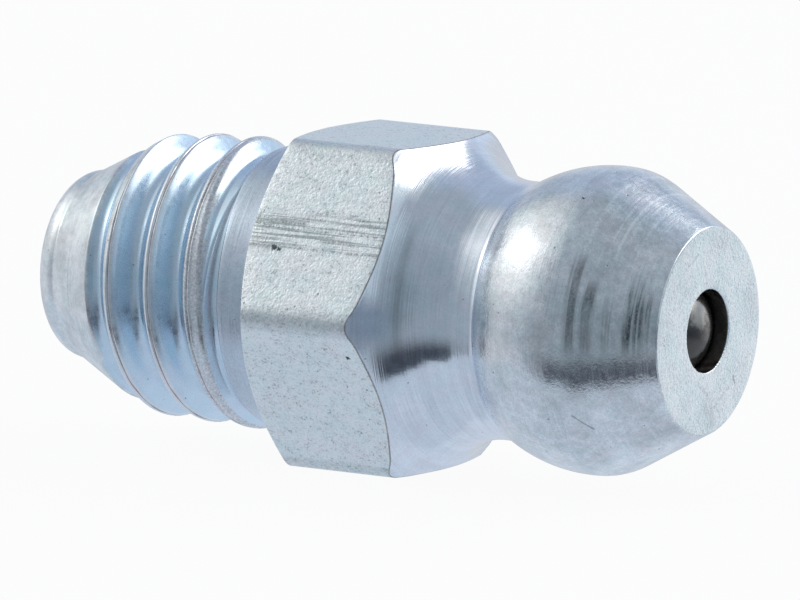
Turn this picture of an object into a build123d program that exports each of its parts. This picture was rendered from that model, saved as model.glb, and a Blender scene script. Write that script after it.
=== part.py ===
"""Straight hydraulic grease nipple: a turned body with a taper thread, its check ball and its spring.

The nipple lies on one flat of its hexagon. X is its axis and points towards the nose, Z is up, and the
origin is the centre of the seat, the face of the hexagon that meets the machine. Sizes are in millimetres.
"""

import os
from math import acos, atan2, ceil, cos, degrees, radians, sin, sqrt, tan

from build123d import *

# Hexagon, cut from drawn hexagonal bar.
across_flats = 7.0
bar_corner_radius = 0.3
seat_diameter = 6.92
seat_chamfer_angle = 30.0
front_corner_break = 0.22

# Flare and neck behind the head, which the coupler's jaws close on.
neck_diameter = 5.48
neck_length = 0.415
flare_radius = 2.0
neck_fillet = 0.6

# Head: a ball with a conical nose, cut off flat. The cone cuts into the ball, and a fillet blends the two.
head_diameter = 6.52
head_centre = 6.94
head_fillet = 1.4
nose_reach = 2.36
nose_half_angle = 29.3
nose_cone_cut = 0.187
nose_edge_break = 0.05

# Stem: collar under the hexagon, thread, lead cone and rounded pilot.
stem_length = 6.06
collar_diameter = 5.96
collar_length = 1.05
pilot_diameter = 4.06
pilot_edge_radius = 0.5
pilot_straight = 0.04
lead_half_angle = 28.0

# Taper thread M6 x 1, right hand: the nominal diameter is at the gauge plane, and the cone tapers 1 in 16.
thread_diameter = 6.0
thread_pitch = 1.0
thread_gauge = 3.6
thread_taper = 1 / 16
flank_half_angle = 30.0
crest_width = 0.12
root_width = 0.23
groove_margin = 0.05
runout_turns = 0.6
runout_end = 0.82
runout_phase = -27.7

# Grease way, from the inlet orifice past the ball's seat and down the bore to the staked tail.
orifice_diameter = 1.76
orifice_edge_break = 0.05
ball_seat_half_angle = 45.0
stake_diameter = 2.1
stake_length = 0.3

# Check ball, held against its conical seat by the spring, with room round it in the bore.
ball_diameter = 2.5
ball_recess = 0.07
ball_clearance = 0.02
bore_clearance = 0.15

# Spring, with one closed turn at each end. Its wire has flat sides within the round wire's outline.
wire_diameter = 0.3
wire_sides = 6
active_turns = 7
turn_gap = 0.02
spring_clearance = 0.02
coil_clearance = 0.2

# Hexagon and its chamfer behind.
bar_corner = across_flats / 2 / cos(radians(30))
stock_radius = bar_corner + 1
seat_radius = seat_diameter / 2
seat_chamfer_end = (stock_radius - seat_radius) * tan(radians(seat_chamfer_angle))

# The neck meets the head's ball in front, and behind it the flare, an arc tangent to it, rises to the flats.
neck_radius = neck_diameter / 2
head_radius = head_diameter / 2
head_start = (head_centre - sqrt(head_radius**2 - neck_radius**2), neck_radius)
flare_end = head_start[0] - neck_length
corner_break_radius = bar_corner - front_corner_break
flare_angle = acos(1 - (corner_break_radius - neck_radius) / flare_radius)


def flare_point(angle):
    """Point of the flare at an angle, in radians, round from where it meets the neck."""
    return (flare_end - flare_radius * sin(angle), neck_radius + flare_radius * (1 - cos(angle)))


corner_break_start = flare_point(flare_angle)[0] - (stock_radius - corner_break_radius)

# The nose cone starts where its line cuts the head's ball.
nose_face = head_centre + nose_reach
nose_angle = radians(nose_half_angle)
cone_offset = head_radius - nose_cone_cut
nose_radius = (cone_offset - nose_reach * sin(nose_angle)) / cos(nose_angle)
cone_turn = nose_angle - acos(cone_offset / head_radius)
cone_start = (head_centre + head_radius * sin(cone_turn), head_radius * cos(cone_turn))

# The lead cone rises from the pilot to the cone that the thread's crests lie on.
pilot_radius = pilot_diameter / 2
collar_radius = collar_diameter / 2
crest_slope = thread_taper / 2


def crest_radius(x):
    """Radius of the thread's crest cone at x."""
    return thread_diameter / 2 + (x + thread_gauge) * crest_slope


lead_start = pilot_edge_radius + pilot_straight - stem_length
lead_slope = tan(radians(lead_half_angle))
lead_end = lead_start + (crest_radius(lead_start) - pilot_radius) / (lead_slope - crest_slope)
collar_start = -collar_length + crest_radius(-collar_length) - collar_radius

# The groove starts over the lead cone, clear of it, and its run-out climbs out of the metal before the collar.
flank_angle = radians(flank_half_angle)
groove_half_width = (thread_pitch - crest_width) / 2
groove_half_mouth = groove_half_width + groove_margin * tan(flank_angle)
groove_depth = (groove_half_width - root_width / 2) / tan(flank_angle)
runout_length = runout_turns * thread_pitch
runout_start = -runout_end - runout_length
runout_cone = atan2(groove_depth + groove_margin, runout_length)
crest_cone = atan2(crest_slope, 1)
lead_at_root = lead_start + (crest_radius(lead_start) - groove_depth - pilot_radius) / lead_slope
thread_turns = ceil((runout_start - lead_at_root + groove_half_mouth) / thread_pitch)
groove_start = runout_start - thread_turns * thread_pitch

# The ball's place follows from the nose, and the seat's cone and the spring's ends from the ball.
orifice_radius = orifice_diameter / 2
stake_radius = stake_diameter / 2
ball_radius = ball_diameter / 2
bore_radius = ball_radius + bore_clearance
ball_centre = nose_face - ball_recess - ball_radius
ball_seat_angle = radians(ball_seat_half_angle)
ball_seat_apex = ball_centre + (ball_radius + ball_clearance) / sin(ball_seat_angle)
orifice_start = ball_seat_apex - orifice_radius / tan(ball_seat_angle)
bore_end = ball_seat_apex - bore_radius / tan(ball_seat_angle)
stake_start = stake_length - stem_length

wire_radius = wire_diameter / 2
coil_radius = bore_radius - coil_clearance - wire_radius
ball_reach = ball_radius + wire_radius + spring_clearance
spring_front = ball_centre - sqrt(ball_reach**2 - coil_radius**2)
stake_angle = atan2(bore_radius - stake_radius, stake_length)
bore_gap = (bore_radius - coil_radius) * cos(stake_angle)
spring_back = stake_start + (wire_radius + spring_clearance - bore_gap) / sin(stake_angle)
closed_pitch = wire_diameter + turn_gap
active_length = spring_front - spring_back - 2 * closed_pitch


def groove_section(x):
    """Section of the thread groove centred at x, in the plane of the axis."""
    mouth = crest_radius(x) + groove_margin
    root = crest_radius(x) - groove_depth
    with BuildSketch(Plane.XZ) as section:
        with BuildLine():
            Polyline(
                (x - groove_half_mouth, mouth),
                (x - root_width / 2, root),
                (x + root_width / 2, root),
                (x + groove_half_mouth, mouth),
                close=True,
            )
        make_face()
    return section.sketch


def groove_run(section, x, turns, cone):
    """Thread groove that starts with a section at x, over the axis, and winds up a cone."""
    with BuildPart() as run:
        with BuildLine() as path:
            Helix(
                thread_pitch / cos(cone),
                turns * thread_pitch,
                crest_radius(x),
                center=(x, 0, 0),
                direction=(1, 0, 0),
                cone_angle=degrees(cone),
            )
        sweep(section, path=path.line, is_frenet=True)
    return run.part


def outline_corner(corners, point):
    """The corner of an outline that lies nearest to a point."""
    return corners.sort_by_distance(point)[0]


# Thread groove, turn by turn: each turn starts with the face that the last one ends on.
groove_face = groove_section(groove_start)
groove_runs = []
for turn in range(thread_turns):
    groove_runs.append(groove_run(groove_face, groove_start + turn * thread_pitch, 1, crest_cone))
    groove_face = groove_runs[-1].faces().sort_by(Axis.X)[-1]
groove_runs.append(groove_run(groove_face, runout_start, runout_turns, runout_cone))

# Body: hexagonal bar cut to the turned outline, then threaded and drilled through.
with BuildPart() as body:
    with BuildSketch(Plane.YZ.offset(-stem_length)) as bar:
        RegularPolygon(radius=across_flats / 2, side_count=6, major_radius=False)
        fillet(bar.vertices(), bar_corner_radius)
    extrude(amount=stem_length + nose_face)

    with BuildSketch(Plane.XZ) as outline:
        with BuildLine():
            tail = Line((-stem_length, 0), (-stem_length, pilot_radius))
            pilot = Line(tail @ 1, (lead_start, pilot_radius))
            lead = Line(pilot @ 1, (lead_end, crest_radius(lead_end)))
            crests = Line(lead @ 1, (-collar_length, crest_radius(-collar_length)))
            step = Line(crests @ 1, (collar_start, collar_radius))
            collar = Line(step @ 1, (0, collar_radius))
            seat = Line(collar @ 1, (0, seat_radius))
            seat_chamfer = Line(seat @ 1, (seat_chamfer_end, stock_radius))
            flats = Line(seat_chamfer @ 1, (corner_break_start, stock_radius))
            corner_break = Line(flats @ 1, flare_point(flare_angle))
            flare = ThreePointArc(corner_break @ 1, flare_point(flare_angle / 2), flare_point(0))
            neck = Line(flare @ 1, head_start)
            head = ThreePointArc(neck @ 1, (head_centre, head_radius), cone_start)
            nose_cone = Line(head @ 1, (nose_face, nose_radius))
            nose = Line(nose_cone @ 1, (nose_face, 0))
            Line(nose @ 1, tail @ 0)
        make_face()
        fillet(outline_corner(outline.vertices(), (-stem_length, pilot_radius)), pilot_edge_radius)
        fillet(outline_corner(outline.vertices(), head_start), neck_fillet)
        fillet(outline_corner(outline.vertices(), cone_start), head_fillet)
        chamfer(outline_corner(outline.vertices(), (nose_face, nose_radius)), nose_edge_break)
    revolve(axis=Axis.X, mode=Mode.INTERSECT)

    for run in groove_runs:
        add(run.rotate(Axis.X, runout_phase), mode=Mode.SUBTRACT)

    with BuildSketch(Plane.XZ) as grease_way:
        with BuildLine():
            centre_line = Line((-stem_length, 0), (nose_face, 0))
            mouth = Line(centre_line @ 1, (nose_face, orifice_radius + orifice_edge_break))
            mouth_edge = Line(mouth @ 1, (nose_face - orifice_edge_break, orifice_radius))
            orifice = Line(mouth_edge @ 1, (orifice_start, orifice_radius))
            ball_seat = Line(orifice @ 1, (bore_end, bore_radius))
            bore = Line(ball_seat @ 1, (stake_start, bore_radius))
            stake = Line(bore @ 1, (-stem_length, stake_radius))
            Line(stake @ 1, centre_line @ 0)
        make_face()
    revolve(axis=Axis.X, mode=Mode.SUBTRACT)

body.part.label = "body"

# Check ball.
with BuildPart(Plane.YZ.offset(ball_centre)) as check_ball:
    Sphere(radius=ball_radius)

check_ball.part.label = "check_ball"


def coil(section, x, pitch, turns):
    """Turns of wire that start with a section at x, over the axis."""
    with BuildPart() as run:
        with BuildLine() as path:
            Helix(pitch, turns * pitch, coil_radius, center=(x, 0, 0), direction=(1, 0, 0))
        sweep(section, path=path.line, is_frenet=True)
    return run.part


# Spring: a closed turn behind, the active turns, and a closed turn in front against the ball.
with BuildSketch(Plane(origin=(spring_back, 0, coil_radius), z_dir=(0, -1, 0))) as wire:
    RegularPolygon(radius=wire_radius, side_count=wire_sides)
back_turn = coil(wire.sketch, spring_back, closed_pitch, 1)
open_turns = coil(
    back_turn.faces().sort_by(Axis.X)[-1],
    spring_back + closed_pitch,
    active_length / active_turns,
    active_turns,
)
front_turn = coil(
    open_turns.faces().sort_by(Axis.X)[-1],
    spring_front - closed_pitch,
    closed_pitch,
    1,
)
with BuildPart() as spring:
    add(back_turn)
    add(open_turns)
    add(front_turn)

spring.part.label = "spring"

os.makedirs("parts", exist_ok=True)
export_step(body.part, "parts/body.step")
export_step(check_ball.part, "parts/check_ball.step")
export_step(spring.part, "parts/spring.step")
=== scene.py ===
from math import acos, asin, atan2, cos, degrees, pi, radians, sin, sqrt, tan

import bmesh
import bpy
import numpy as np
from mathutils import Matrix, Vector


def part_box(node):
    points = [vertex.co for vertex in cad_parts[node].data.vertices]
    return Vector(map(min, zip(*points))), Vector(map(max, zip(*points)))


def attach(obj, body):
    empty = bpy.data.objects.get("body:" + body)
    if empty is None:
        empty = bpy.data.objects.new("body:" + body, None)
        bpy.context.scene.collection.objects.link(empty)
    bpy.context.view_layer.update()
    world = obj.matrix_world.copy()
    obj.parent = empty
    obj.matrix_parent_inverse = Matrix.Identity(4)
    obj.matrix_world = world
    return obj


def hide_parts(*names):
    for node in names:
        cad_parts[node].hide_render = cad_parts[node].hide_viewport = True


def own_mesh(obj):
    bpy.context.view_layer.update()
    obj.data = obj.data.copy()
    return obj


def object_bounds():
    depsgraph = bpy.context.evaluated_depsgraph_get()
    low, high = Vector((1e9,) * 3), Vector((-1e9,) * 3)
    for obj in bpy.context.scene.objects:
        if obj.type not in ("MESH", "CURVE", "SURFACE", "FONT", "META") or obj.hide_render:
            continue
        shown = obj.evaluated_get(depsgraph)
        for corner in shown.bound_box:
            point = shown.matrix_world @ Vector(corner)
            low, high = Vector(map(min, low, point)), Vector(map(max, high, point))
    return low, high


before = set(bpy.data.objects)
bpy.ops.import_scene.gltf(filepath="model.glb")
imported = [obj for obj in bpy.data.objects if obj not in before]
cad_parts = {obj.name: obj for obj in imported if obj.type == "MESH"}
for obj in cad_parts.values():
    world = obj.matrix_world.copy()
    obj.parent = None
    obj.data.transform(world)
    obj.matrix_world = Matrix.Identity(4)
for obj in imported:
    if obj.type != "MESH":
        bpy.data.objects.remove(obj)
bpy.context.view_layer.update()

# The shapes are worked out in millimetres, as the part's source has them, and written in metres.
MM = 0.001
body_low, body_high = (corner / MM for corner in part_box("body"))
ball_low, ball_high = (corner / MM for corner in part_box("check_ball"))

# Hexagon. The bar is a little out of true: its upper rear corner stands lower than the others.
ACROSS_FLATS = -2 * body_low.z
BAR_CORNER_RADIUS = 0.42
REAR_CORNER_SAG = 0.022
SEAT_RADIUS = 3.46
SEAT_RIM = 0.02
SEAT_CHAMFER_ANGLE = radians(30)
EDGE_ROUNDING = 0.04

# Head, neck and flare. The flare is an arc that grows from the neck, and a straight cone past its break.
HEAD_RADIUS = 3.26
HEAD_CENTRE = 6.94
NECK_RADIUS = 2.74
NECK_LENGTH = 0.415
NECK_FILLET = 0.3
HEAD_START = HEAD_CENTRE - sqrt(HEAD_RADIUS**2 - NECK_RADIUS**2)
FLARE_END = HEAD_START - NECK_LENGTH
FLARE_RADIUS = 2.0
FLARE_RIM = 0.1
CORNER_BREAK = 0.22
FLARE_BREAK_RADIUS = ACROSS_FLATS / 2 / cos(radians(30)) - CORNER_BREAK
HEAD_FILLET = 1.4
NOSE_FACE = body_high.x
NOSE_ANGLE = radians(29.3)
NOSE_CONE_CUT = 0.187
NOSE_EDGE = 0.06

# Stem. The collar is blended into the seat face, and a shallow relief parts it from the last crest.
TAIL = body_low.x
COLLAR_RADIUS = 2.98
COLLAR_BLEND = 0.26
SHOULDER_LENGTH = 0.05
SHOULDER_END = 0.16
SHOULDER_ROUNDING = 0.04
RELIEF_START = -1.22
RELIEF_END = -0.93
RELIEF_RADIUS = 2.84
RELIEF_SLOPE = 1.5
RELIEF_SLOPE_START = RELIEF_START + 0.14
RELIEF_BLEND = 0.05
RELIEF_SKEW = 0.15
RELIEF_SKEW_ANGLE = 68
RELIEF_SKEW_SPREAD = 34
PILOT_RADIUS = 2.03
PILOT_EDGE_RADIUS = 0.5
PILOT_STRAIGHT = 0.04
LEAD_ANGLE = radians(28)
LEAD_START = TAIL + PILOT_EDGE_RADIUS + PILOT_STRAIGHT
LEAD_MARGIN = 0.02

# Thread, with the seam that rolling leaves between the two lips of the crest.
PITCH = 1.0
THREAD_RADIUS = 3.02
THREAD_GAUGE = 3.6
THREAD_SLOPE = 1 / 32
FLANK_ANGLE = radians(30)
CREST_WIDTH = 0.17
ROOT_WIDTH = 0.28
GROOVE_DEPTH = ((PITCH - CREST_WIDTH) / 2 - ROOT_WIDTH / 2) / tan(FLANK_ANGLE)
ROOT_BLEND = 0.2
FRONT_BLEND = 0.2
REAR_BLEND = 0.1
LEAST_DEPTH_SHARE = 0.03
RUNOUT_START = -1.42
RUNOUT_LENGTH = 0.36
RUNOUT_ANGLE = 117.7
SEAM_PLACE = 0.03
SEAM_WANDER = 0.012
SEAM_HALF = 0.02
SEAM_DARK_HALF = 0.6 * SEAM_HALF
SEAM_DEPTH = 0.024
SEAM_UNEVENNESS = 0.0135
LIP_HALF = 0.06
LIP_HEIGHT = 0.014
CREST_REACH = 0.05
LEAD_BLEND = 0.03

# Grease way.
ORIFICE_RADIUS = 0.88
ORIFICE_EDGE = 0.05
BURR_HEIGHT = 0.03
BURR_LEAST = 0.35
BURR_ANGLE = 100
BURR_SPREAD = 40
BALL_SEAT_ANGLE = radians(45)
BEDDED_HALF = radians(1.6)
BORE_RADIUS = 1.4
STAKE_RADIUS = 1.05
STAKE_LENGTH = 0.3

# Check ball and spring.
BALL_RADIUS = (ball_high.x - ball_low.x) / 2
BALL_CENTRE = (ball_high.x + ball_low.x) / 2
BALL_CLEARANCE = 0.02
WIRE_RADIUS = 0.15
COIL_RADIUS = 1.05
CLOSED_PITCH = 0.32
ACTIVE_TURNS = 7
TURN_STEPS = 40
WIRE_SIDES = 14

# Columns of the body's mesh: a few round each corner of the hexagon, and more across each flat.
CORNER_COLUMNS = 8
FLAT_COLUMNS = 28
MERGE_DISTANCE = 2e-4

# Rows of one pitch of thread: how far they reach from the middle of the groove, and how many there are.
THREAD_ROWS = ((-0.34, 15), (-0.14, 4), (0.14, 8), (0.31, 4), (PITCH / 2, 9))
FIRST_GROOVE = -5
LAST_GROOVE = 1
RELIEF_ROWS = 16
RELIEF_THREAD_ROWS = 13

bar_inner = ACROSS_FLATS / 2 - BAR_CORNER_RADIUS
corner_span = degrees(acos(0.5)) / 2 - degrees(atan2(bar_inner * tan(radians(30)), ACROSS_FLATS / 2))


def column_angles():
    """Angles of the columns, in degrees from -Y towards +Z. They start and end at the back."""
    angles = []
    for corner in range(180, 540, 60):
        angles.extend(np.linspace(corner - corner_span, corner + corner_span, CORNER_COLUMNS + 1))
        across = np.linspace(corner + corner_span, corner + 60 - corner_span, FLAT_COLUMNS + 1)
        angles.extend(across[1:-1])
    return np.array(angles + [angles[0] + 360])


ANGLES = column_angles()


def bar_radius(angles):
    """Distance from the axis to the hexagonal bar with its rounded corners."""
    from_flat = np.radians((angles + 360) % 60 - 30)
    from_corner = radians(30) - np.abs(from_flat)
    centre = bar_inner / cos(radians(30))
    flat = ACROSS_FLATS / 2 / np.cos(from_flat)
    aside = np.minimum(centre * np.sin(from_corner), BAR_CORNER_RADIUS)
    corner = centre * np.cos(from_corner) + np.sqrt(BAR_CORNER_RADIUS**2 - aside**2)
    sag = REAR_CORNER_SAG * np.interp(angles % 360, [60, 120, 180], [0, 1, 0], left=0, right=0)
    return np.where(from_corner < radians(corner_span), corner, flat) * (1 - sag)


def point(x, radius):
    """Point of the outline as a complex number, or one for each column: x along the axis, then the radius."""
    return np.asarray(x) + 1j * np.asarray(radius)


def straight(start, end, count):
    """Rows evenly spaced between two points, without the points."""
    return [start + (end - start) * i / count for i in range(1, count)]


def arc(centre, radius, start, end, count):
    """Rows round an arc. Angles are in radians from +X towards the outside."""
    return [centre + radius * np.exp(1j * angle) for angle in np.linspace(start, end, count + 1)]


def rounded(before, corner, after, radius, count):
    """Rows round a corner between two straight stretches."""
    back = (before - corner) / np.abs(before - corner)
    onward = (after - corner) / np.abs(after - corner)
    half = np.arccos(np.clip((back * np.conj(onward)).real, -1, 1)) / 2
    middle = (back + onward) / np.abs(back + onward)
    centre = corner + middle * radius / np.sin(half)
    first = corner + back * radius / np.tan(half) - centre
    last = corner + onward * radius / np.tan(half) - centre
    turn = np.angle(last / first)
    return [centre + first * np.exp(1j * turn * i / count) for i in range(count + 1)]


def waves(position, lengths, seed):
    """Smooth uneven waves between about -1 and 1, the same each time."""
    draw = np.random.default_rng(seed)
    total = 0
    for length in lengths:
        total = total + np.sin(2 * pi * (position / length + draw.random())) / len(lengths)
    return total


# Rows of the body. A row is an array of outline points, one for each column, and each point has its zone.
ZONES = [
    "pilot", "thread", "crest", "seam", "collar", "seat", "flats", "edge", "flare", "head", "nose", "inside",
]
rows = []
row_zones = []


def lay(zone, new_rows):
    """Adds rows whose faces all lie in one zone, or in the zones of an array."""
    zones = ZONES.index(zone) if isinstance(zone, str) else zone
    for row in new_rows:
        rows.append(row + np.zeros(len(ANGLES)))
        row_zones.append(zones + np.zeros(len(ANGLES), int))


def lay_tail():
    """Staked tail and rounded pilot."""
    stake = point(TAIL, STAKE_RADIUS)
    shoulder = point(TAIL, PILOT_RADIUS - PILOT_EDGE_RADIUS)
    lay("pilot", [stake] + straight(stake, shoulder, 6))
    edge_centre = shoulder + PILOT_EDGE_RADIUS
    lay("pilot", arc(edge_centre, PILOT_EDGE_RADIUS, pi, pi / 2, 10))
    lay("pilot", [point(LEAD_START, PILOT_RADIUS)])


def crest_cone(x):
    """Radius of the taper that the crests lie on."""
    return THREAD_RADIUS + (x + THREAD_GAUGE) * THREAD_SLOPE


def smooth_least(a, b, blend):
    """The lesser of two surfaces, blended where they cross."""
    share = np.clip(0.5 + 0.5 * (b - a) / blend, 0, 1)
    return b + (a - b) * share - blend * share * (1 - share)


def lead_radius(x):
    """Radius of the lead cone."""
    return PILOT_RADIUS + (x - LEAD_START) * tan(LEAD_ANGLE)


def helix():
    """How far the thread has gone along the axis at each column."""
    return (RUNOUT_ANGLE - ANGLES) / 360 * PITCH


def place_in_thread(x):
    """Distance from the middle of the nearest groove, how deep that groove is, and the place on the crest."""
    along = x - RUNOUT_START - helix()
    groove = np.round(along / PITCH) * PITCH
    aside = along - groove
    out = np.clip((groove + helix()) / RUNOUT_LENGTH, 0, 1)
    on_crest = np.where(aside < 0, aside + PITCH / 2, aside - PITCH / 2)
    return aside, GROOVE_DEPTH * (1 - out), on_crest


def stem_radius(x):
    """Radius of the threaded stem at x, for each column."""
    aside, depth, on_crest = place_in_thread(x)
    share = np.maximum(depth / GROOVE_DEPTH, LEAST_DEPTH_SHARE)
    flank = (np.abs(aside) - ROOT_WIDTH / 2) / tan(FLANK_ANGLE) - depth
    height = -smooth_least(-flank, depth, ROOT_BLEND * share)
    height = smooth_least(height, 0, np.where(aside < 0, FRONT_BLEND, REAR_BLEND) * share)
    wander = SEAM_PLACE + SEAM_WANDER * waves(ANGLES, [97, 41, 19], 3)
    depths = SEAM_DEPTH + SEAM_UNEVENNESS * waves(ANGLES, [120, 47, 21, 13], 5)
    seam = depths * np.exp(-(((on_crest - wander) / SEAM_HALF) ** 2))
    lips = LIP_HEIGHT * np.exp(-(((on_crest - wander) / LIP_HALF) ** 2))
    radius = crest_cone(x) + height + lips - seam
    relief = RELIEF_RADIUS + RELIEF_SLOPE * np.maximum(RELIEF_SLOPE_START - x, 0)
    radius = smooth_least(radius, relief, RELIEF_BLEND)
    return smooth_least(radius, lead_radius(x), LEAD_BLEND)


def crest_zones(x, radius):
    """Crest where the surface is near the crest cone, and thread below it."""
    return np.where(radius > crest_cone(x) - CREST_REACH, ZONES.index("crest"), ZONES.index("thread"))


def lay_thread():
    """Thread rows follow the helix, close together on the crests, and stop at the pilot and the relief."""
    asides = [-PITCH / 2]
    for end, count in THREAD_ROWS:
        asides.extend(np.linspace(asides[-1], end, count + 1)[1:])
    for groove in range(FIRST_GROOVE, LAST_GROOVE + 1):
        for aside in asides[:-1]:
            x = np.clip(RUNOUT_START + helix() + groove * PITCH + aside, LEAD_START, RELIEF_START)
            radius = np.where(x <= LEAD_START, PILOT_RADIUS, stem_radius(x))
            zones = crest_zones(x, radius)
            in_seam = np.abs(place_in_thread(x)[2] - SEAM_PLACE) < SEAM_DARK_HALF
            zones = np.where(in_seam, ZONES.index("seam"), zones)
            zones = np.where(radius > lead_radius(x) - LEAD_MARGIN, ZONES.index("pilot"), zones)
            lay(zones, [point(x, radius)])


def lay_relief_and_collar():
    """Relief, shoulder and collar, which is blended into the seat face. The relief's last rows and the foot
    of the shoulder take the seam's dark zinc, as painted shade in the crease.
    """
    skew = RELIEF_SKEW * np.exp(-(((ANGLES - 360 - RELIEF_SKEW_ANGLE) / RELIEF_SKEW_SPREAD) ** 2))
    relief_end = RELIEF_END - skew
    for i in range(RELIEF_ROWS):
        x = RELIEF_START + (relief_end - RELIEF_START) * i / (RELIEF_ROWS - 1)
        # The relief's last rows take the seam's dark zinc: painted shade in the crease before the shoulder.
        zones = crest_zones(x, stem_radius(x)) if i < RELIEF_THREAD_ROWS else ZONES.index("seam")
        lay(zones, [point(x, stem_radius(x))])
    foot = rows[-1]
    shoulder = point(foot.real + SHOULDER_LENGTH, COLLAR_RADIUS)
    start = point(foot.real + SHOULDER_END, COLLAR_RADIUS)
    # Painted shade: the foot of the shoulder is dark zinc too.
    lay("seam", straight(foot, shoulder, 3))
    lay("collar", rounded(foot, shoulder, start, SHOULDER_ROUNDING, 4))
    corner = point(0, COLLAR_RADIUS)
    seat = point(0, SEAT_RADIUS)
    fillet = rounded(start, corner, seat, COLLAR_BLEND, 8)
    lay("collar", [start] + straight(start, fillet[0], 7) + fillet)
    return fillet[-1], seat


def flare_angle(radius):
    """Turn of the flare's arc at a radius, from the neck."""
    return np.arccos(np.clip(1 - (radius - NECK_RADIUS) / FLARE_RADIUS, -1, 1))


def flare_place(radius):
    """Place of the flare along the axis at a radius."""
    on_arc = FLARE_END - FLARE_RADIUS * np.sin(flare_angle(radius))
    cone_start = FLARE_END - FLARE_RADIUS * np.sin(flare_angle(FLARE_BREAK_RADIUS))
    beyond = radius - FLARE_BREAK_RADIUS
    return np.where(beyond > 0, cone_start - beyond, on_arc)


def lay_hexagon(seat_inner, seat):
    """Seat face, chamfer, flats with softened edges, and the start of the flare."""
    bar = bar_radius(ANGLES)
    flats_back = point((bar - SEAT_RADIUS) * tan(SEAT_CHAMFER_ANGLE), bar)
    flats_front = point(flare_place(bar), bar)
    inner = ACROSS_FLATS / 2 - FLARE_RIM

    lay("seat", [seat_inner] + straight(seat_inner, seat, 4))
    lay("seat", [seat - 1j * SEAT_RIM, seat])
    back_edge = rounded(seat, flats_back, flats_front, EDGE_ROUNDING, 4)
    lay("seat", straight(seat, back_edge[0], 3))
    front_edge = rounded(flats_back, flats_front, point(flare_place(inner), inner), EDGE_ROUNDING, 4)
    lay("flats", back_edge + straight(back_edge[-1], front_edge[0], 10))
    lay("edge", front_edge[:-1])
    lay("flare", front_edge[-1:])
    outer = front_edge[-1].imag
    for i in range(1, 8):
        radius = outer + (inner - outer) * i / 8
        lay("flare", [point(flare_place(radius), radius)])
    return flare_angle(inner)


def lay_flare_and_neck(inner_angle):
    """Rest of the flare, neck and the fillet into the head."""
    centre = point(FLARE_END, NECK_RADIUS + FLARE_RADIUS)
    lay("flare", arc(centre, FLARE_RADIUS, -pi / 2 - inner_angle, -pi / 2, 26))
    fillet_radius = NECK_RADIUS + NECK_FILLET
    fillet_x = HEAD_CENTRE - sqrt((HEAD_RADIUS + NECK_FILLET) ** 2 - fillet_radius**2)
    lay("flare", straight(point(FLARE_END, NECK_RADIUS), point(fillet_x, NECK_RADIUS), 3))
    fillet_end = atan2(-fillet_radius, HEAD_CENTRE - fillet_x)
    lay("flare", arc(point(fillet_x, fillet_radius), NECK_FILLET, -pi / 2, fillet_end, 8))
    return pi + fillet_end


def lay_head(ball_start):
    """Ball of the head, fillet and nose cone."""
    cone_offset = HEAD_RADIUS - NOSE_CONE_CUT
    fillet_turn = NOSE_ANGLE - acos((cone_offset - HEAD_FILLET) / (HEAD_RADIUS - HEAD_FILLET))
    centre = point(HEAD_CENTRE, 0)
    lay("head", arc(centre, HEAD_RADIUS, ball_start, pi / 2 - fillet_turn, 34)[1:])
    fillet_centre = centre + (HEAD_RADIUS - HEAD_FILLET) * np.exp(1j * (pi / 2 - fillet_turn))
    lay("head", arc(fillet_centre, HEAD_FILLET, pi / 2 - fillet_turn, pi / 2 - NOSE_ANGLE, 12)[1:])
    reach = NOSE_FACE - HEAD_CENTRE
    nose_radius = (cone_offset - reach * sin(NOSE_ANGLE)) / cos(NOSE_ANGLE)
    nose_corner = point(NOSE_FACE, nose_radius)
    edge = rounded(rows[-1], nose_corner, point(NOSE_FACE, ORIFICE_RADIUS), NOSE_EDGE, 5)
    lay("head", straight(rows[-1], edge[0], 20) + edge[:-1])
    return edge[-1]


def lay_grease_way(nose_edge):
    """Nose face, orifice, ball seat, bore and stake. Past the mouth's rounded edge, the inside is dark zinc
    as painted shade in the hole.
    """
    ball_seat_apex = BALL_CENTRE + (BALL_RADIUS + BALL_CLEARANCE) / sin(BALL_SEAT_ANGLE)
    mouth = point(NOSE_FACE, ORIFICE_RADIUS)
    orifice = point(ball_seat_apex - ORIFICE_RADIUS / tan(BALL_SEAT_ANGLE), ORIFICE_RADIUS)
    bore = point(ball_seat_apex - BORE_RADIUS / tan(BALL_SEAT_ANGLE), BORE_RADIUS)
    bore_back = point(TAIL + STAKE_LENGTH, BORE_RADIUS)
    stake = point(TAIL, STAKE_RADIUS)
    mouth_edge = rounded(nose_edge, mouth, orifice, ORIFICE_EDGE, 5)
    burr = BURR_HEIGHT * np.abs(waves(ANGLES, [31, 13, 7], 7))
    burr = burr * (BURR_LEAST + np.exp(-(((ANGLES - 360 + BURR_ANGLE) / BURR_SPREAD) ** 2)))
    mouth_edge = [p - 1j * burr * sin(pi * i / 6) for i, p in enumerate(mouth_edge, 1)]
    lay("nose", [nose_edge] + straight(nose_edge, mouth_edge[0], 16) + mouth_edge[:3])
    # Painted shade: everything inside the orifice takes the dark inside zinc.
    lay("inside", mouth_edge[3:] + straight(mouth_edge[-1], orifice, 4) + [orifice])
    lay("inside", straight(orifice, bore, 6) + [bore])
    lay("inside", straight(bore, bore_back, 16) + [bore_back])
    lay("inside", straight(bore_back, stake, 4))


def add_piece(name, mesh, materials):
    """Object of a mesh, smooth, with its materials."""
    mesh.shade_smooth()
    for material in materials:
        mesh.materials.append(material)
    piece = bpy.data.objects.new(name, mesh)
    bpy.context.scene.collection.objects.link(piece)
    return piece


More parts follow.
